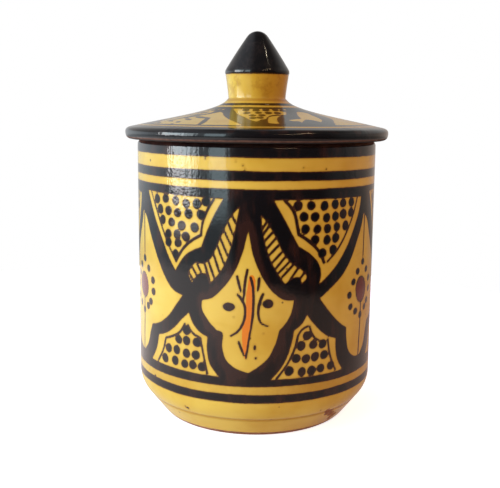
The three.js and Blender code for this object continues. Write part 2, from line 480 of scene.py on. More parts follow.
UPPER_LEFT_CELL = [
    [(-36, 105.8), (-14.4, 105.4)],
    [(-18.1, 99.3), (-21.2, 93.2), (-24.5, 85.1)],
    [(-28.5, 83.5), (-32.7, 80.9), (-36, 77.3), (-38.3, 73.7)],
    [(-42, 78.5), (-48.1, 88.2), (-53.3, 96.6), (-58.5, 106.3)],
]
UPPER_RIGHT_CELL = [
    [(31, 105), (55.3, 104.6)],
    [(53.5, 98.3), (50, 92), (44.6, 83.9), (38.5, 77), (33, 72.4), (28.9, 69.5)],
    [(29.6, 73.9), (28.1, 78.5), (24.2, 82.4), (18.5, 85.9)],
    [(15.2, 91.6), (11.2, 98.5), (7.3, 105)],
]
LOWER_LEFT_CELL = [
    [(-29.2, 52.7), (-25.8, 49), (-21.5, 46.9)],
    [(-21.8, 42), (-20.4, 35.4), (-16.2, 30.2)],
    [(-36, 30.4), (-56.5, 30.8)],
    [(-52.5, 36.4), (-50.2, 43.3)],
    [(-45, 45), (-39.6, 48.3), (-34.6, 53.1), (-30.9, 56.4)],
]
LOWER_RIGHT_CELL = [
    [(20.4, 52.7), (17.1, 50.4)],
    [(16, 45), (12.3, 35.8), (7.1, 29.6)],
    [(25, 29.6), (43.9, 29.6)],
    [(40.4, 34.6), (39, 40.8), (38.9, 44.5)],
    [(33.5, 46.5), (28.9, 50), (22.9, 56.7)],
]
UNIT_CELLS = [INNER_CELL, LEFT_LEAF, RIGHT_LEAF, UPPER_LEFT_CELL, UPPER_RIGHT_CELL, LOWER_LEFT_CELL,
              LOWER_RIGHT_CELL]

# The hatching in the two leaves
LEAF_STROKE_WIDTH = 1.05
LEAF_STROKE_EXTRA = 0.7
LEAF_STROKES = [
    [(-10.4, 98.5), (-9, 95.9)], [(-12.1, 95.5), (-10.2, 91.2)], [(-13.9, 92.4), (-11, 86.6)],
    [(-15.6, 89.3), (-12.7, 82.8)], [(-16.9, 85.9), (-14.2, 79.3)], [(-18.7, 82.8), (-16.2, 75.5)],
    [(-21, 79.3), (-18.3, 72.4)], [(-22.9, 78.2), (-20.4, 71.2)], [(-26.5, 77.8), (-24.6, 74.5)],
    [(-29, 76.2), (-26.9, 73.2)], [(-30.4, 73.5), (-28.5, 70.5)], [(2.4, 93.5), (4.4, 96.6)],
    [(2.9, 91.4), (5.5, 95)], [(3.6, 88.6), (7, 92.3)], [(4.4, 85.4), (8.4, 89.8)],
    [(5.3, 82.5), (9.8, 87)], [(6.6, 79.4), (11.3, 84.2)], [(8, 76.7), (12.6, 81.9)],
    [(9.4, 75), (14.2, 79.6)], [(11.5, 73.8), (16.3, 78.6)], [(15.3, 73), (18, 76.5)],
    [(19.6, 72.8), (21.2, 74.7)],
]
# Each thin line's width and course
THIN_LINES = [
    (0.95, [(-55.5, 106), (-51.5, 99.3), (-47.1, 91.6), (-42.3, 83.7), (-37.9, 77.8)]),
    (1.2, [(-18.5, 105.1), (-21.5, 100.5), (-23.8, 95), (-24.5, 90)]),
    (1.35, [(-24.5, 90), (-29.2, 87.4), (-33.5, 83.9), (-37.9, 77.8)]),
    (1.45, [(11.9, 104.9), (16, 100.1), (17.7, 93.9), (18.3, 91)]),
    (1.45, [(18.3, 91), (22.7, 88.2), (27.7, 83.9), (31, 78.5)]),
    (0.95, [(51.8, 104.8), (50, 100.1), (44.8, 91), (38.1, 82.8), (32.9, 78.6)]),
    (1.05, [(-33.1, 51.1), (-36.2, 46.9), (-40.5, 44.5), (-45, 42.9)]),
    (1.05, [(-45, 42.9), (-46.6, 37.9), (-51, 31.4)]),
    (1.05, [(-31.4, 50.8), (-28.5, 47.5), (-25, 46.2)]),
    (1.05, [(-25, 46.2), (-23.8, 40.5), (-21.6, 30.8)]),
    (1.05, [(23.5, 51.7), (21, 50.7), (18.9, 48.1)]),
    (1.05, [(18.9, 48.1), (17.3, 42.3), (14.2, 36.2), (9.2, 29.8)]),
    (1.05, [(24.4, 51.5), (26.9, 46.5), (31.2, 44.2)]),
    (1.05, [(34.2, 44.8), (35.8, 37.3), (39.2, 30.4)]),
]
DOT_RADIUS = 2.06
DOTS = [
    (-50.5, 103.3), (-44.3, 103.9), (-37.9, 103.4), (-32.1, 102.6), (-26.5, 102.8), (-22.1, 104.1),
    (-48.1, 99.1), (-42.5, 98.9), (-36.9, 98.4), (-30.8, 98.4), (-24.5, 98.4), (-46.4, 94.7),
    (-40.6, 94.1), (-34.6, 93.2), (-27.7, 92.9), (-42.7, 89), (-37.3, 89.2), (-32.3, 88.7),
    (-42.6, 85.5), (-36.7, 85.7), (-38.1, 80.7), (17.8, 102.7), (23.9, 102.6), (30.6, 102.2),
    (36.5, 102.5), (41.4, 102.8), (47.1, 102.8), (20.6, 98.1), (25.9, 97.9), (31.9, 97.2), (36.8, 97.5),
    (41.6, 98.2), (46.9, 98.4), (21.4, 93), (27.2, 92.7), (32.5, 92.6), (37.8, 93), (43.3, 93.1),
    (26.2, 88.3), (32.4, 87.8), (37.3, 88.4), (30, 82.4), (35.9, 83.4), (-32.1, 48.5), (-36.7, 43.7),
    (-32.2, 43.9), (-26.7, 43.9), (-43.1, 38.7), (-37.9, 38.9), (-32.3, 38.3), (-27.3, 38.3),
    (-45.6, 33.7), (-38.9, 33.9), (-33.3, 33.5), (-28.9, 33.7), (-24.2, 33.5), (23.3, 47.7),
    (20.4, 43.5), (26.4, 43.5), (31.4, 43.1), (18.2, 38.2), (22.9, 37.7), (27.5, 38), (32.3, 38.2),
    (15, 33), (21, 32.1), (25.8, 32.1), (30.6, 32.5), (36.2, 32.8),
]

# The motif inside the inner cell: an orange blade with a dark line on it, strokes with a width at each end,
# and dabs as (degrees, height, half width in degrees, half height)
STROKE_TAPER = 0.15
MOTIF_STROKE_WIDTHS = (1.35, 0.95)
BLADE_EDGE_WIDTHS = (1.25, 0.85)
BLADE = [
    [(-1.6, 74.4), (-0.5, 73), (-0.2, 70.3), (-0.6, 66.1), (-0.8, 61.4), (-1.3, 56.7),
     (-2, 51.7), (-2.6, 46.9), (-3.5, 42.1), (-4.4, 37.9)],
    [(-5.4, 42.1), (-5.9, 46.8), (-5.8, 51.6), (-5, 56.4), (-4.4, 61.2), (-4.2, 65.9), (-3.5, 70.5),
     (-3.1, 72.9), (-2.6, 74.4)],
]
BLADE_EDGE = [
    (-2.4, 73.4), (-1.6, 70.7), (-1.1, 66.1), (-1.1, 61.2), (-1.4, 56.5), (-2.1, 51.7), (-2.9, 47),
    (-3.6, 42.1), (-4.1, 38.9),
]
MOTIF_STROKES = [
    [(-3.7, 76.5), (-4.3, 73.8), (-4.8, 70.5), (-5.1, 66.3), (-5.3, 64.3)],
    [(-8.2, 73.7), (-7.5, 71.1), (-6.5, 67.4)],
    [(1.3, 73), (1.1, 70.3), (0.7, 67.7)],
    [(-7.9, 66), (-6.1, 63.9), (-4.8, 61.2), (-4.6, 57.9), (-5.6, 53.6), (-7.7, 50.4), (-10.9, 48.2)],
    [(3, 66.4), (1.9, 63.6), (1.1, 59.8), (1.3, 56.5), (2.3, 54.2), (5.2, 52.8)],
    [(-7.3, 45.8), (-6.2, 43), (-4.9, 39.8)],
]
MOTIF_DABS = [
    (-11.7, 60.7, 2.8, 2.0), (5.2, 62.3, 2.3, 1.95), (-0.3, 43.6, 0.65, 1.3), (0.2, 39, 0.65, 0.6),
]

# The flower between two units, round its own middle. Its disc is as the dabs above
FLOWER = [
    [(3, 95.4), (8.5, 87), (14, 78.3), (20, 70), (24.6, 65.5), (30.8, 63.4)],
    [(27.3, 59.2), (22.3, 53.5), (17.3, 49.8), (9, 47)],
    [(7.1, 43.3), (4.5, 37.3), (-0.5, 33)],
    [(-6, 33.9), (-10.4, 37.3), (-12, 42.3), (-12.5, 48.1)],
    [(-15.8, 50), (-20.8, 54), (-25.8, 59.2), (-29.3, 63.2)],
    [(-21.2, 68.2), (-16, 72), (-11, 77.3), (-6, 85.1), (-1, 93.9), (0, 97.2)],
]
FLOWER_STEMS = [
    [(1.2, 97), (1.1, 86), (0.9, 78)],
    [(-0.2, 57), (-0.3, 49.5), (-0.9, 41.4), (-1.3, 33.5)],
]
FLOWER_STEM_WIDTH = 0.95
FLOWER_DISC = (-0.3, 63.2, 5.3, 5.8)
FLOWER_RIM = 0.35
FLOWER_DOT_SIZE = (1.8, 1.6)
FLOWER_DOTS = [
    (0.9, 75.4), (-4.2, 71.7), (-7.7, 67.5), (-10.7, 62), (-9.7, 56.7), (-5.4, 54), (-0.4, 51.5),
    (4.5, 54.2), (7.5, 56.7), (10.3, 61.7), (9.8, 66.7), (5.5, 71.4),
]

# How far from the inner cell the ink is thin and brown
THIN_INK_WIDTH = 5.0

# Dark specks in the glaze, as (degrees, height, radius)
JAR_SPECKS = [
    (-54, 23.2, 0.75), (-34.2, 13.5, 0.62), (-22.5, 121.5, 0.5), (-6, 119.1, 0.45), (-5.2, 117.6, 0.3),
    (-9, 120.6, 0.3), (20, 118.2, 0.3), (31, 117.4, 0.35), (-2.2, 47.5, 0.3), (3.4, 49.6, 0.3),
    (-9.5, 56.4, 0.3), (33, 12.2, 0.35), (8, 10.4, 0.3), (-60, 24.7, 0.35), (66, 50, 0.4), (141, 16, 0.5),
    (-120, 12.5, 0.4), (171, 119, 0.45), (104, 120.2, 0.4), (-152, 13, 0.45), (-33.1, 12.9, 0.72),
]

# The black bands, as (lower edge, upper edge), and how far from level and how uneven they are
JAR_BANDS = [(19.1, 22.8), (26.3, 109.5), (112.8, 116.7), (122.0, 200.0)]
BAND_LEAN = 0.35
BAND_WAVE = 0.16

# The yellow line between the two lowest bands, where some ink is smudged
SMUDGE_LINE = (22.6, 26.5)

# Where the glaze is mottled, as (degrees, half width in degrees, lowest height, how much)
MOTTLED = [
    (-35, 10, 98, 1.0), (-17, 7, 106, 0.35), (46, 6, 110, 1.0), (-112, 12, 90, 1.0), (158, 10, 104, 1.0),
    (101, 8, 60, 1.0),
]
MOTTLE_FADE = 8

# The bare clay at the foot reaches this high, and the glaze has chipped off at dabs above it, as
# (degrees, height, half width, half height, seed)
CLAY_LINE = 1.75
CHIP_DABS = [
    (38.6, 10.6, 1.5, 1.3, 81), (41, 8.9, 2.6, 1.6, 82), (44.5, 7.2, 2.8, 1.4, 83),
    (48.5, 5.2, 3.0, 1.3, 84), (47.5, 3.6, 1.8, 1.0, 85),
]

# Surfaces are told apart with this much room
TOUCH = 0.01


def round_the_jar(angle, middle):
    return (angle - middle + 180.0) % 360.0 - 180.0


def slow_wave(angle, seed, size):
    """A slow unevenness round the axis, as a hand-held brush gives."""
    hand = np.random.default_rng(seed)
    wave = np.zeros_like(angle)
    for turns in (1, 2, 3, 5, 8):
        swing = size * hand.uniform(0.3, 1.0) / turns ** 0.5
        wave += swing * np.sin(np.radians(turns * angle) + phase(hand))
    return wave


def uneven_bands(across, angle, bands, seeds, waves, lean=0.0):
    field = np.full(len(angle), -FAR)
    for number, (low, high) in enumerate(bands):
        low_edge = low + slow_wave(angle, seeds[0] + number, waves[0]) + lean
        high_edge = high + slow_wave(angle, seeds[1] + number, waves[1]) + lean
        field = np.maximum(field, np.minimum(across - low_edge, high_edge - across))
    return field


def hand_shift(places, seed, size=0.55):
    """Moves places a little, so that a repeat isn't an exact copy."""
    hand = np.random.default_rng(seed)
    moved = places.copy()
    for axis in (0, 1):
        for reach in (9.0, 17.0):
            along, up = phase(hand, 2)
            sway = size * np.sin(places[:, 0] / reach + along)
            moved[:, axis] += sway * np.cos(places[:, 1] / reach + up)
    return moved


def mottled(angle, height):
    most = np.zeros_like(angle)
    for degrees, reach, lowest, share in MOTTLED:
        across = share * np.exp(-(round_the_jar(angle, degrees) / reach) ** 4)
        most = np.maximum(most, across * np.clip((height - lowest) / MOTTLE_FADE + 0.5, 0, 1))
    return most


def paint_unit(local, number):
    part = unpainted(local, "cells", "marks", "orange")
    own = unpainted(local, "hatch", "inner")
    for cell in UNIT_CELLS:
        add_area(part["cells"], local, outline(on_jar, cell))
    add_area(own["inner"], local, outline(on_jar, INNER_CELL), THIN_INK_WIDTH)
    add_area(part["orange"], local, outline(on_jar, BLADE))
    for line in LEAF_STROKES:
        line = lengthened(on_jar(line), LEAF_STROKE_EXTRA)
        add_stroke(own["hatch"], local, line, LEAF_STROKE_WIDTH, taper=STROKE_TAPER)
    for width, line in THIN_LINES:
        add_stroke(part["marks"], local, on_jar(line), width)
    for line in MOTIF_STROKES:
        add_stroke(part["marks"], local, on_jar(line), *MOTIF_STROKE_WIDTHS, STROKE_TAPER)
    add_stroke(part["marks"], local, on_jar(BLADE_EDGE), *BLADE_EDGE_WIDTHS)
    add_dots(part["marks"], local, on_jar(DOTS), DOT_RADIUS, DOT_RADIUS, 100 * number)
    for i, (*place, wide, high) in enumerate(MOTIF_DABS):
        add_dot(part["marks"], local, on_jar(place), wide * MM_PER_DEGREE, high, 900 + 10 * number + i)
    part["marks"] = np.maximum(part["marks"], own["hatch"])
    part["thin"] = np.maximum(THIN_INK_WIDTH + own["inner"], 4 * own["hatch"] + 2)
    return part


def paint_flower(local, number):
    part = unpainted(local, "cells", "marks", "red")
    add_area(part["cells"], local, outline(on_jar, FLOWER))
    for line in FLOWER_STEMS:
        add_stroke(part["marks"], local, on_jar(line), FLOWER_STEM_WIDTH)
    *place, wide, high = FLOWER_DISC
    add_dot(part["red"], local, on_jar(place), wide * MM_PER_DEGREE, high, 700 + number)
    add_dots(part["marks"], local, on_jar(FLOWER_DOTS), *FLOWER_DOT_SIZE, 720 + 20 * number)
    part["marks"] = np.maximum(part["marks"], FLOWER_RIM - np.abs(part["red"]))
    return part


def paint_pattern(angle, height):
    """The paint of the whole pattern, from each unit and flower."""
    whole = unpainted(angle, "cells", "marks", "orange", "red", "thin")
    hidden = 360.0 - UNIT_WIDTH
    narrower = hidden / 2 / UNIT_WIDTH
    for paint, number, middle, drawn_at, scale, seed in (
            (paint_unit, 0, UNIT_MIDDLE, UNIT_MIDDLE, 1.0, None),
            (paint_unit, 1, FLOWER_RIGHT + hidden / 4, UNIT_MIDDLE, narrower, 41),
            (paint_unit, 2, FLOWER_RIGHT + hidden * 3 / 4, UNIT_MIDDLE, narrower, 42),
            (paint_flower, 0, FLOWER_RIGHT, 0.0, 1.0, None),
            (paint_flower, 1, FLOWER_RIGHT + hidden / 2, 0.0, 1.0, 60),
            (paint_flower, 2, FLOWER_LEFT, 0.0, 1.0, None)):
        here = round_the_jar(angle, middle) / scale + drawn_at
        chosen = np.nonzero(np.abs(here - drawn_at) < PATTERN_REACH)[0]
        local = on_jar(np.stack([here[chosen], height[chosen]], 1))
        if seed:
            local = hand_shift(local, seed)
        for name, field in paint(local, number).items():
            whole[name][chosen] = np.maximum(whole[name][chosen], field)
    return whole


def jar_ink(angle, height, pattern):
    lean = -BAND_LEAN * np.sin(np.radians(angle))
    ink = uneven_bands(height, angle, JAR_BANDS, (11, 31), (BAND_WAVE, BAND_WAVE), lean)
    ink = np.maximum(np.minimum(ink, -pattern["cells"]), pattern["marks"])
    local = on_jar(np.stack([angle, height], 1))
    for number, (*place, size) in enumerate(JAR_SPECKS):
        add_dot(ink, local, on_jar(place), size, size * 0.9, 600 + number)
    return ink


def jar_bare(angle, radius, height):
    """The bare clay under and round the foot, and in the chips."""
    clay_line = CLAY_LINE + slow_wave(angle, 51, 0.2)
    bare = np.where(height > TOUCH, clay_line - height, FAR)
    bare = np.where((radius < FOOT_RADIUS) & (height < FOOT_RECESS + TOUCH), FAR, bare)
    bare = np.where((radius < MOUTH_RADIUS + 0.6) & (height > FLOOR_TOP - TOUCH), -FAR, bare)
    chip = np.full(len(angle), -FAR)
    local = on_jar(np.stack([angle, height], 1))
    for *place, wide, high, seed in CHIP_DABS:
        add_dot(chip, local, on_jar(place), wide, high, seed)
    chip[radius < FOOT_RADIUS] = -FAR
    return clipped(np.maximum(bare, chip))


def jar_shade_and_smudge(angle, radius, height):
    """Painted shade in the tool's line, and the darker glaze between the lowest bands where ink is smudged.
    """
    smudge = np.minimum(height - SMUDGE_LINE[0], SMUDGE_LINE[1] - height) - 0.2
    smudge = np.minimum(smudge, -0.1 + slow_wave(angle, 91, 0.25))
    painted_shade_and_smudge = np.maximum(0.7 - np.abs(height - TOOL_LINE_HEIGHT), smudge)
    return np.where(radius > FOOT_RADIUS, clipped(painted_shade_and_smudge), -FAR)


def paint_jar(places):
    angle, radius, height = places
    on_bevel = (height < BEVEL_HEIGHT + BEVEL_SOFTNESS) & (radius > FOOT_RADIUS - 1)
    on_wall = radius > BODY_RADIUS - LIP_OUTER_RADIUS + 0.1
    outside = np.nonzero((on_bevel | on_wall) & (height > TOUCH))[0]
    painted = paint_pattern(angle[outside], height[outside])
    painted["ink"] = jar_ink(angle[outside], height[outside], painted)

    fields = unpainted(angle, "ink", "orange", "red", "thin")
    for name, field in fields.items():
        field[outside] = clipped(painted[name])
    fields["bare"] = jar_bare(angle, radius, height)
    fields["mottle"] = mottled(angle, height)
    fields["painted_shade_and_smudge"] = jar_shade_and_smudge(angle, radius, height)
    return fields


# The lid's pattern: a dotted cell with a leaf in it, and a petal to the left of it, come four times round
# the cone. The fifth place, to the right of the front, has a bird-like leaf and half a petal instead.
LID_REPEATS = (0, 2, 3, 4)
LID_REPEAT_TURN = 72
DOTTED_CELL = [
    [(-22.2, 25.5), (-14.3, 31.8), (-8.2, 36.4), (-4, 41.4), (-0.5, 44.3)],
    [(0.5, 43.2), (2, 40.6), (5, 39), (6.8, 35.6), (9.5, 32.8), (14.3, 31.3), (18, 31.4)],
    [(21.8, 31.4), (27.8, 26.6), (34.5, 22.1)],
    [(14, 22.1), (0, 22.1), (-15, 22.1), (-29, 21.8)],
]
CELL_LEAF = [
    [(10.8, 34.2), (13.5, 33.6), (18, 32.6)],
    [(13.8, 36.3), (11.8, 40), (10.8, 44.4), (10.8, 47.6)],
    [(8.8, 48), (7, 47.4), (5.5, 46.6)],
    [(6, 41.1), (7.5, 36.2)],
]
CELL_DOT_SIZE = (1.6, 2.1)
CELL_DOTS = [
    (-12, 23.6), (-1.2, 23.6), (9.2, 23.4), (19.8, 23.2), (27.6, 24.2), (-9.2, 28.4), (1, 28), (9.8, 28.2),
    (17.8, 28.4), (-3.6, 32.8), (3.4, 32.4), (-3, 37.6), (1.8, 36.8),
]
PETAL = [
    [(-32.5, 28.2), (-25.8, 33), (-17.8, 39.8), (-12, 45), (-7, 51)],
    [(-22, 51.2), (-36, 51.2), (-50, 51.2), (-63.5, 51.2)],
    [(-56.5, 42.5), (-50, 36.8), (-43.5, 31.9), (-36.5, 27)],
]
PETAL_STROKE_WIDTH = 2.5
PETAL_STROKES = [
    [(-46, 36.3), (-40, 37.6), (-32, 38.8)],
    [(-32.5, 38.8), (-31, 42.2), (-28.8, 47), (-28, 51.2)],
]
# Slanting dabs, as (degrees, distance from the axis, half length, half width)
PETAL_DAB_LEAN = 0.6
PETAL_DABS = [
    (-44.6, 42, 1.9, 1.1), (-45.6, 47, 1.2, 1.1), (-45, 50.8, 0.9, 0.7), (-51, 39.5, 2.4, 0.8),
    (-55, 45.5, 2.2, 0.9), (-59, 49.5, 1.8, 0.8),
]
BIRD_LEAF = [
    [(23, 39.6), (28, 38.6), (32, 33), (40.8, 26.4)],
    [(47, 26.2), (51.8, 27.8), (48.8, 31.9), (46, 36.2), (42.8, 40.4), (36.5, 45)],
    [(34.5, 41.2), (31, 40), (28.5, 41.4), (23.4, 46.2)],
    [(23.4, 43.2), (20.5, 43), (18, 41.4)],
]
HALF_PETAL = [
    [(63.5, 31), (61, 35.5), (54, 40.6), (46.2, 45.3), (40.5, 50.4)],
    [(48, 50.7), (60, 50.9), (72, 51.2)],
    [(76, 44), (77, 36), (74, 30), (70, 27)],
]
# The black rings, as (inner edge, outer edge), and where the rim's black starts
LID_RINGS = [(15.8, 17.8), (19.7, 53.1)]
LID_RIM_INK = 55.1

# How far from the axis the rolled edge and the bare seat start
LID_EDGE_RADIUS = 57
SEAT_INNER_RADIUS = 54

# Heights above the seat where bare clay ends and ink is worn, and how far below the cap its ink starts
SEAT_CLAY_LINE = 1.35
HOLLOW_CLAY_LINE = -2.5
CAP_INK_OVERLAP = 0.5
WORN_HEIGHT = 4.9


def cone_ink(angle, radius):
    turn = np.radians(angle)
    painted = unpainted(angle, "cells", "marks")
    for number in LID_REPEATS:
        plan = from_above(turn - math.radians(LID_REPEAT_TURN * number), radius)
        if number:
            plan = hand_shift(plan, 200 + number, 0.4)
        for shape in (DOTTED_CELL, CELL_LEAF, PETAL):
            add_area(painted["cells"], plan, outline(on_lid, shape))
        add_dots(painted["marks"], plan, on_lid(CELL_DOTS), *CELL_DOT_SIZE, 300 + 30 * number)
        for line in PETAL_STROKES:
            add_stroke(painted["marks"], plan, on_lid(line), PETAL_STROKE_WIDTH, taper=0.3)
        for degrees, out, wide, high in PETAL_DABS:
            reach = math.degrees(wide / out)
            dab = [(degrees - reach, out - PETAL_DAB_LEAN), (degrees + reach, out + PETAL_DAB_LEAN)]
            add_stroke(painted["marks"], plan, on_lid(dab), 2 * high, taper=0.5)
    for shape in (BIRD_LEAF, HALF_PETAL):
        add_area(painted["cells"], from_above(turn, radius), outline(on_lid, shape))

    ink = uneven_bands(radius, angle, LID_RINGS, (71, 75), (0.1, 0.12))
    ink = np.minimum(ink, -painted["cells"])
    ink = np.maximum(ink, np.where(painted["cells"] > -0.2, painted["marks"], -FAR))
    return clipped(np.maximum(ink, radius - LID_RIM_INK - slow_wave(angle, 79, 0.15)))


def lid_bare(angle, radius, height):
    """The bare clay under the edge, on the flange and at the hollow's foot."""
    seat_line = SEAT_CLAY_LINE - height + slow_wave(angle, 87, 0.18)
    seat = (radius > SEAT_INNER_RADIUS) & (height < LID_EDGE_MIDDLE)
    bare = np.where(seat, clipped(seat_line), -FAR)
    flange = (radius > FLANGE_INNER - 0.2) & (radius < LID_EDGE_RADIUS) & (height < 0.5)
    bare = np.where(flange, FAR, bare)
    hollow = (radius < FLANGE_INNER + 0.3) & (height < cone_top(radius) - 2)
    return np.where(hollow, clipped(HOLLOW_CLAY_LINE - height + slow_wave(angle, 89, 0.5)), bare)


def paint_lid(places):
    angle, radius, height = places
    mottle = np.where(radius > BODY_RADIUS, 0.6, 0.0) * mottled(angle, height)
    height = height - BODY_HEIGHT
    on_cone = (radius > NECK_RADIUS + NECK_GROOVE_DEPTH - 0.2) & (radius < LID_RADIUS - 2.5)
    on_cone = np.nonzero((np.abs(height - cone_top(radius)) < 0.8) & on_cone)[0]

    fields = unpainted(angle, "orange", "red", "ink", "thin")
    fields["ink"][on_cone] = cone_ink(angle[on_cone], radius[on_cone])
    knob = (height > NECK_FOOT + 0.2) & (radius < CAP_RADIUS + 0.5)
    cap_line = height - CAP_FOOT + CAP_INK_OVERLAP + slow_wave(angle, 83, 0.1)
    fields["ink"] = np.where(knob, clipped(cap_line), fields["ink"])
    fields["ink"] = np.where((radius > LID_RADIUS - 2.6) & (height > -0.1), FAR, fields["ink"])
    worn = 1.4 - 1.2 * np.abs(height - WORN_HEIGHT)
    fields["thin"] = np.where(radius > LID_EDGE_RADIUS, clipped(worn), fields["thin"])
    fields["bare"] = lid_bare(angle, radius, height)
    fields["mottle"] = mottle
    # Painted shade: the glaze is darkened round the groove at the neck's foot and along the outer edge of
    # the ring by the rim
    groove = np.hypot(radius - NECK_RADIUS - 0.8, height - NECK_FOOT - 0.1)
    fields["painted_shade_and_smudge"] = clipped(np.maximum(0.9 - groove, 1.2 - np.abs(radius - LID_RIM_INK)))
    return fields


# Materials

class Shader:
    """A node tree whose nodes are added and wired one at a time."""

    def __init__(self, owner, coordinates="Object"):
        owner.use_nodes = True
        self.tree = owner.node_tree
        self.tree.nodes.clear()
        self.where = self.add("TexCoord").outputs[coordinates]
        self.across, self.back, self.up = self.add("SeparateXYZ", {0: self.where}).outputs

    def add(self, kind, inputs=None, **settings):
        node = self.tree.nodes.new("ShaderNode" + kind)
        for name, value in settings.items():
            setattr(node, name, value)
        for key, value in (inputs or {}).items():
            if isinstance(value, bpy.types.NodeSocket):
                self.tree.links.new(value, node.inputs[key])
            else:
                node.inputs[key].default_value = value
        return node

    def maths(self, operation, first, second, third=0.0):
        return self.add("Math", {0: first, 1: second, 2: third}, operation=operation).outputs[0]

    def plus(self, first, second):
        return self.maths("ADD", first, second)

    def times(self, first, second):
        return self.maths("MULTIPLY", first, second)

    def centred(self, value, span):
        """A noise as a shift either way, by half a span at most."""
        return self.maths("MULTIPLY_ADD", value, span, -span / 2)

    def ramp(self, value, low, high, to_low=0.0, to_high=1.0):
        """A smooth step of a value between two limits."""
        inputs = {"Value": value, "From Min": low, "From Max": high, "To Min": to_low, "To Max": to_high}
        return self.add("MapRange", inputs, interpolation_type="SMOOTHSTEP").outputs["Result"]

    def mix(self, share, first, second):
        return self.add("Mix", {0: share, 6: first, 7: second}, data_type="RGBA").outputs[2]

    def field(self, name):
        return self.add("Attribute", attribute_name=name, attribute_type="GEOMETRY").outputs["Fac"]

    def noise(self, scale, detail=2.0, roughness=0.5, stretch=None):
        where = self.where
        if stretch:
            where = self.add("Mapping", {"Vector": where, "Scale": stretch}).outputs["Vector"]
        inputs = {"Vector": where, "Scale": scale, "Detail": detail, "Roughness": roughness}
        return self.add("TexNoise", inputs).outputs["Fac"]

    def either(self, share, first, second):
        """The first shader where a share is 0, and the second where it is 1."""
        return self.add("MixShader", {0: share, 1: first.outputs[0], 2: second.outputs[0]})

    def seen_directly(self, path):
        """1 for what the camera sees, and 0 for all other light."""
        return self.maths("MAXIMUM", path.outputs["Is Camera Ray"], path.outputs["Is Transmission Ray"])


YELLOW = (0.76, 0.50, 0.07, 1)
YELLOW_DEEP = (0.64, 0.365, 0.03, 1)
# YELLOW_EDGE is also the colour of the painted shade in grooves and at the lid's ring
YELLOW_EDGE = (0.44, 0.205, 0.018, 1)
INK = (0.0045, 0.0038, 0.0042, 1)
INK_THIN = (0.060, 0.021, 0.008, 1)
INK_BROWN = (0.034, 0.012, 0.008, 1)
INK_SMOKY = (0.020, 0.014, 0.012, 1)
ORANGE = (0.78, 0.21, 0.012, 1)
RED = (0.155, 0.021, 0.018, 1)
CLAY = (0.46, 0.20, 0.105, 1)
CLAY_DARK = (0.22, 0.075, 0.035, 1)
SPECK = (0.10, 0.035, 0.012, 1)
# The near-black of the painted shade on the lid's seat
PAINTED_SHADE_BLACK = (0.008, 0.005, 0.004, 1)
BLACK = (0, 0, 0, 1)

GLAZE_ROUGHNESS = (0.075, 0.12)
CLAY_ROUGHNESS = 0.78

# Heights between which the surface changes, in metres. The seat is the line under the lid's edge, darkened
# with painted shade
INTO_NECK = (0.144, 0.148)
INTO_CAP = (0.1575, 0.159)
INTO_SEAT = (0.1278, 0.12781)
OUT_OF_SEAT = (0.1286, 0.1282)


def yellow_glaze(s, ink_field, wander):
    """The yellow glaze: deeper in blotches and streaks, at ink edges and in a smudge, and darker with
    painted shade in grooves and at the lid's ring.
    """
    yellow = s.mix(s.ramp(s.noise(34, 3.0, 0.6), 0.35, 0.75), YELLOW, YELLOW_DEEP)
    streak = s.noise(55, 3.0, 0.55, (1.0, 1.0, 7.0))
    yellow = s.mix(s.ramp(streak, 0.55, 0.8, 0.0, 0.35), yellow, YELLOW_DEEP)
    halo = s.ramp(ink_field, -0.75, -0.05, 0.0, 0.42)
    # Painted shade in the grooves and at the lid's ring, and the smudge between the jar's lowest bands
    shaded_and_smudged = s.ramp(s.plus(s.field("painted_shade_and_smudge"), wander), -0.7, 0.6, 0.0, 0.75)
    stained = s.times(s.ramp(s.up, *INTO_NECK), s.ramp(s.noise(170, 3.0, 0.6), 0.46, 0.68, 0.0, 0.6))
    for share in (halo, shaded_and_smudged, stained):
        yellow = s.mix(share, yellow, YELLOW_EDGE)
    grains = s.add("TexVoronoi", {"Vector": s.where, "Scale": 210.0, "Randomness": 1.0}).outputs["Distance"]
    specks = s.times(s.ramp(grains, 0.16, 0.09), s.ramp(s.noise(105, 0.0), 0.66, 0.7))
    return s.mix(s.times(specks, 0.8), yellow, SPECK)


def brushed_ink(s, ink_field, uneven):
    """The black ink: brown where it is thin, and a little smoky on the cap."""
    body = s.ramp(s.plus(ink_field, s.centred(uneven, 0.5)), 0.08, 0.75)
    strokes = s.noise(150, 3.0, 0.6, (1.0, 1.0, 0.3))
    thinned = s.plus(s.field("thin"), s.centred(strokes, 16.0))
    ink = s.mix(s.ramp(thinned, 0.5, 4.0, 0.0, 0.85), s.mix(body, INK_THIN, INK), INK_BROWN)
    smoky = s.ramp(s.noise(260, 4.0, 0.7), 0.42, 0.66, 0.0, 0.75)
    return s.mix(s.times(s.ramp(s.up, *INTO_CAP), smoky), ink, INK_SMOKY)


def bare_clay(s):
    """The bare clay, darkened with painted shade in the line between the jar's lip and the lid's edge."""
    clay = s.mix(s.ramp(s.noise(420, 4.0, 0.7), 0.3, 0.7), CLAY_DARK, CLAY)
    # Painted shade: the lid's bare seat is darkened almost to black, as the shade between the lid and the
    # jar
    painted_seat_shade = s.times(s.ramp(s.up, *INTO_SEAT), s.ramp(s.up, *OUT_OF_SEAT, 0.7, 1.0))
    return s.mix(painted_seat_shade, clay, PAINTED_SHADE_BLACK)


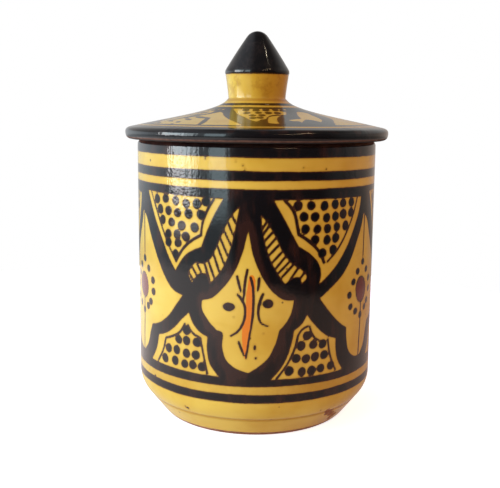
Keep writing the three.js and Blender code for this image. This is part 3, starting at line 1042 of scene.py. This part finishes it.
def surface_height(s, ink_field, bare):
    swell = s.times(s.noise(42, 1.0), 0.16)
    turned = s.times(s.noise(24, 1.0, 0.5, (1.0, 1.0, 5.0)), 0.03)
    mottle = s.maths("MAXIMUM", s.field("mottle"), 0.0)
    streaks = s.noise(620, 1.0, 0.5, (1.0, 1.0, 0.14))
    runs = s.times(streaks, s.ramp(mottle, 0.0, 1.0, 0.015, 0.17))
    peel = s.times(s.noise(880, 1.0), s.ramp(mottle, 0.0, 1.0, 0.008, 0.1))
    dimples = s.times(s.noise(150, 1.0), s.ramp(s.up, *INTO_NECK, 0.02, 0.1))
    ripples = s.times(s.noise(330, 1.0), s.ramp(s.up, *INTO_CAP, 0.0, 0.025))
    paint = s.times(s.ramp(ink_field, -0.5, 0.5), 0.012)
    grain = s.times(s.times(s.noise(1500, 3.0), bare), 0.14)
    step = s.times(bare, -0.12)
    for part in (turned, runs, peel, dimples, ripples, paint, grain, step):
        swell = s.plus(swell, part)
    return swell


def glazed_clay(name):
    """Yellow glaze with brushed paint, and bare clay."""
    material = bpy.data.materials.new(name)
    s = Shader(material)
    uneven = s.noise(190)
    wander = s.plus(s.centred(s.noise(900), 0.26), s.centred(uneven, 0.32))
    ink_field = s.plus(s.field("ink"), wander)
    colour = yellow_glaze(s, ink_field, wander)
    for field, paint in (("orange", ORANGE), ("red", RED)):
        colour = s.mix(s.ramp(s.plus(s.field(field), wander), -0.15, 0.15), colour, paint)
    colour = s.mix(s.ramp(ink_field, -0.13, 0.13), colour, brushed_ink(s, ink_field, uneven))
    bare = s.ramp(s.plus(s.field("bare"), wander), -0.2, 0.2)
    colour = s.mix(bare, colour, bare_clay(s))

    gloss = s.ramp(s.noise(120), 0.3, 0.7, *GLAZE_ROUGHNESS)
    roughness = s.add("Mix", {0: bare, 2: gloss, 3: CLAY_ROUGHNESS}, data_type="FLOAT").outputs[0]
    height = surface_height(s, ink_field, bare)
    relief = s.add("Bump", {"Strength": 1.0, "Distance": MM, "Height": height}).outputs["Normal"]
    shader = s.add("BsdfPrincipled", {"Base Color": colour, "Roughness": roughness, "Normal": relief})
    s.add("OutputMaterial", {"Surface": shader.outputs["BSDF"]})
    return material


# The two pieces

def dress(piece, fields, material, body, node):
    """Paints a piece and puts it in place of its CAD node."""
    for name, values in fields.items():
        layer = piece.data.attributes.new(name, "FLOAT", "POINT")
        layer.data.foreach_set("value", values.astype(np.float32))
    piece.data.materials.append(material)
    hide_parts(node)
    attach(piece, body)


# The distance between rings and the points in a ring, from the first rule that a place fits:
# (least radius, most radius, least height, most height, value)
ALL = 1000
CONE_RIM = BODY_HEIGHT + LID_EDGE_THICKNESS - 0.5
JAR_SPACING = [
    (BODY_RADIUS - 1.5, ALL, BEVEL_HEIGHT + 2, BODY_HEIGHT - 4, 0.74),
    (BEVEL_FOOT - 2, ALL, -ALL, BEVEL_HEIGHT + 3, 1.0),
    (-ALL, ALL, -ALL, ALL, 3.0),
]
JAR_COLUMNS = [
    (BODY_RADIUS - 1.2, ALL, BEVEL_HEIGHT + 3, BODY_HEIGHT - 3.5, 544),
    (BODY_RADIUS - 6, ALL, BODY_HEIGHT - 3.5, ALL, 272),
    (FOOT_RADIUS, ALL, -ALL, BEVEL_HEIGHT + 3, 272),
    (20, ALL, -ALL, ALL, 136),
    (-ALL, ALL, -ALL, ALL, 68),
]
LID_SPACING = [
    (16, 57, CONE_RIM, ALL, 0.6),
    (-ALL, 20, BODY_HEIGHT + NECK_FOOT - 1, ALL, 0.8),
    (-ALL, ALL, -ALL, ALL, 2.5),
]
LID_COLUMNS = [
    (20, 52, CONE_RIM, ALL, 480),
    (28, ALL, -ALL, ALL, 240),
    (8, ALL, -ALL, ALL, 120),
    (-ALL, ALL, -ALL, ALL, 60),
]

jar, jar_places = revolved("jar_painted", rings_along(jar_profile(), JAR_SPACING, JAR_COLUMNS))
lid, lid_places = revolved("lid_painted", rings_along(lid_profile(), LID_SPACING, LID_COLUMNS))
dress(jar, paint_jar(jar_places), glazed_clay("jar_glaze_and_paint"), "jar", "jar")
dress(lid, paint_lid(lid_places), glazed_clay("lid_glaze_and_paint"), "lid", "lid")


# The camera, as a fit of the pot's outline in the photograph gives it
CAMERA_PLACE = (-0.00264, -0.3694, 0.1404)
CAMERA_PITCH = 9.59
CAMERA_ROLL = 0.5
camera_data = bpy.data.cameras.new("camera")
camera_data.lens = 56.53
camera_data.sensor_width = 36.0
camera_data.clip_start = 0.01
camera = linked("camera", camera_data)
camera.matrix_world = (Matrix.Translation(CAMERA_PLACE)
                       @ Matrix.Rotation(math.radians(90 - CAMERA_PITCH), 4, "X")
                       @ Matrix.Rotation(math.radians(CAMERA_ROLL), 4, "Z"))
bpy.context.scene.camera = camera


# The floor: a table that the camera sees as white. In the glaze it shows a painted reflection, a glow
# brighter to the left that only mirrored light sees
TABLE_MIDDLE = (-0.06, -0.02)
TABLE_RADIUS = 0.36


def table():
    bpy.ops.mesh.primitive_circle_add(vertices=128, radius=TABLE_RADIUS, fill_type="NGON")
    piece = bpy.context.object
    piece.name = "floor"
    piece.location = (*TABLE_MIDDLE, 0.0)
    material = bpy.data.materials.new("white_floor")
    s = Shader(material)
    path = s.add("LightPath")
    paper = s.add("BsdfDiffuse", {"Color": (0.92, 0.92, 0.92, 1)})
    white = s.add("Emission", {"Color": (0.98, 0.99, 1, 1), "Strength": 0.84})
    dark = s.add("Emission", {"Color": BLACK, "Strength": 0.0})
    added = s.either(s.seen_directly(path), dark, white)
    lit = s.add("AddShader", {0: paper.outputs[0], 1: added.outputs[0]})
    # Painted reflection: the table glows for mirrored light only, brighter to the left and warm to the
    # right
    painted_sheen = s.mix(s.ramp(s.across, -0.13, 0.1), (1.35, 1.25, 1.22, 1), (0.52, 0.37, 0.32, 1))
    mirrored = s.add("Emission", {"Color": painted_sheen, "Strength": 1.0})
    whole = s.either(path.outputs["Is Glossy Ray"], lit, mirrored)
    s.add("OutputMaterial", {"Surface": whole.outputs[0]})
    piece.data.materials.append(material)


table()


# The lights: a tall window to the left, three small warm lamps to the right and a soft room
WINDOW_DISTANCE = 2.0
WARM_LAMPS = ((27, 25, 0.38, 46.0), (47, 43, 0.26, 76.0))
WARM_LAMP_DISTANCE = 1.2
WARM_LAMP_THICKNESS = 0.012
WARM_LAMP_AIM = 0.1
WARM = (1.0, 0.72, 0.42)
LESS_WARM = (1.0, 0.84, 0.6)


def lamp(name, bearing, distance, middle, tilt, width, height, radiance, colour):
    """A lamp that faces the axis from a bearing and is tilted down, in degrees."""
    data = bpy.data.lights.new(name, "AREA")
    data.shape = "RECTANGLE"
    data.size = width
    data.size_y = height
    data.energy = radiance * math.pi * width * height
    data.color = colour
    piece = linked(name, data)
    turn = math.radians(bearing)
    place = (distance * math.sin(turn), -distance * math.cos(turn), middle)
    facing = Matrix.Rotation(turn, 4, "Z") @ Matrix.Rotation(math.radians(90 - tilt), 4, "X")
    piece.matrix_world = Matrix.Translation(place) @ facing
    piece.visible_camera = False


def pane(name, left, right, low, high, radiance, colour):
    width = 2 * WINDOW_DISTANCE * math.tan(math.radians(right - left) / 2)
    middle = (low + high) / 2
    lamp(name, (left + right) / 2, WINDOW_DISTANCE, middle, 0.0, width, high - low, radiance, colour)


pane("pane_edge", -88.5, -83, -0.09, 0.97, 9.0, (1.0, 1.0, 1.0))
pane("pane_far", -83, -63, 0.0, 0.97, 8.8, (0.88, 1.0, 1.06))
pane("pane_far_foot", -83, -63, -0.09, 0.0, 8.8, (1.05, 0.98, 1.0))
pane("pane_middle", -63, -51.5, -0.09, 0.97, 4.6, (0.86, 1.0, 1.05))
pane("pane_sill", -86, -54, -0.19, -0.09, 3.0, (0.95, 1.0, 1.0))
pane("pane_near", -43.5, -26.2, -0.15, 0.97, 2.8, (0.76, 1.0, 1.08))
for number, (bearing, rise, width, radiance) in enumerate(WARM_LAMPS):
    out = WARM_LAMP_DISTANCE * math.cos(math.radians(rise))
    up = WARM_LAMP_AIM + WARM_LAMP_DISTANCE * math.sin(math.radians(rise))
    lamp("warm_lamp_%d" % number, bearing, out, up, rise, width, WARM_LAMP_THICKNESS, radiance, WARM)
lamp("high_lamp", 74, 0.58, 1.15, 61, 0.036, WARM_LAMP_THICKNESS, 120.0, LESS_WARM)

# The room's colours at bearings from the front, in degrees: as it is mirrored, and as it gives light
ROOM_MIRRORED = [
    (-180, 0.52, 0.48, 0.45), (-150, 0.75, 0.79, 0.82), (-127, 1.15, 1.27, 1.33), (-108, 1.25, 1.4, 1.5),
    (-97, 1.1, 1.2, 1.25), (-88, 0.9, 1.0, 1.05), (-26, 0.8, 0.95, 1.0), (-20, 0.2, 0.18, 0.18),
    (0, 0.1, 0.08, 0.09), (62, 0.09, 0.08, 0.09), (78, 0.25, 0.25, 0.25), (103, 0.36, 0.33, 0.32),
    (128, 0.48, 0.39, 0.33), (152, 0.6, 0.5, 0.44), (180, 0.52, 0.48, 0.45),
]
ROOM_LIGHT = [
    (-180, 0.45, 0.36, 0.4), (-150, 0.4, 0.3, 0.6), (-110, 0.36, 0.55, 1.8), (-75, 0.43, 1.25, 2.4),
    (-40, 0.88, 0.85, 1.1), (-10, 0.76, 0.38, 0.04), (20, 0.37, 0.115, 0.01), (50, 0.28, 0.11, 0.01),
    (80, 0.38, 0.2, 0.02), (110, 0.68, 0.48, 0.12), (150, 0.68, 0.43, 0.3), (180, 0.45, 0.36, 0.4),
]


def bearing_colours(s, bearing, stops):
    """Half the colours at bearings, smoothly joined."""
    node = s.add("ValToRGB", {0: bearing})
    band = node.color_ramp
    while len(band.elements) < len(stops):
        band.elements.new(0.5)
    for element, (degrees, *colour) in zip(band.elements, stops):
        element.position = degrees / 360 + 0.5
    for element, (degrees, *colour) in zip(band.elements, stops):
        element.color = (*[value / 2 for value in colour], 1)
    return node.outputs[0]


def room():
    """What the glaze mirrors, the soft light and the white background."""
    world = bpy.data.worlds.new("room")
    bpy.context.scene.world = world
    s = Shader(world, "Generated")
    path = s.add("LightPath")
    bearing = s.maths("ARCTAN2", s.across, s.times(s.back, -1.0))
    bearing = s.maths("MULTIPLY_ADD", bearing, 0.5 / math.pi, 0.5)
    mirrored = bearing_colours(s, bearing, ROOM_MIRRORED)
    ceiling = s.mix(s.ramp(s.across, -0.5, -0.1), (0.25, 0.26, 0.27, 1), (0.06, 0.06, 0.06, 1))
    lifted = s.mix(s.ramp(s.up, 0.08, 0.3), mirrored, (0.275, 0.27, 0.262, 1))
    lifted = s.mix(s.ramp(s.back, -0.1, 0.3), mirrored, lifted)
    reflected = s.mix(s.ramp(s.up, 0.45, 0.8), lifted, ceiling)
    reflected = s.mix(s.ramp(s.up, -0.06, -0.16, 0.0, 0.44), reflected, BLACK)
    mirror = s.add("Background", {"Color": reflected, "Strength": 2.0})
    soft = s.add("Background", {"Color": bearing_colours(s, bearing, ROOM_LIGHT), "Strength": 1.95})
    white = s.add("Background", {"Color": (1, 1, 1, 1), "Strength": 1.0})
    unseen = s.either(path.outputs["Is Glossy Ray"], soft, mirror)
    shown = s.either(s.seen_directly(path), unseen, white)
    s.add("OutputWorld", {"Surface": shown.outputs[0]})


room()

bpy.context.scene.view_settings.view_transform = "Standard"
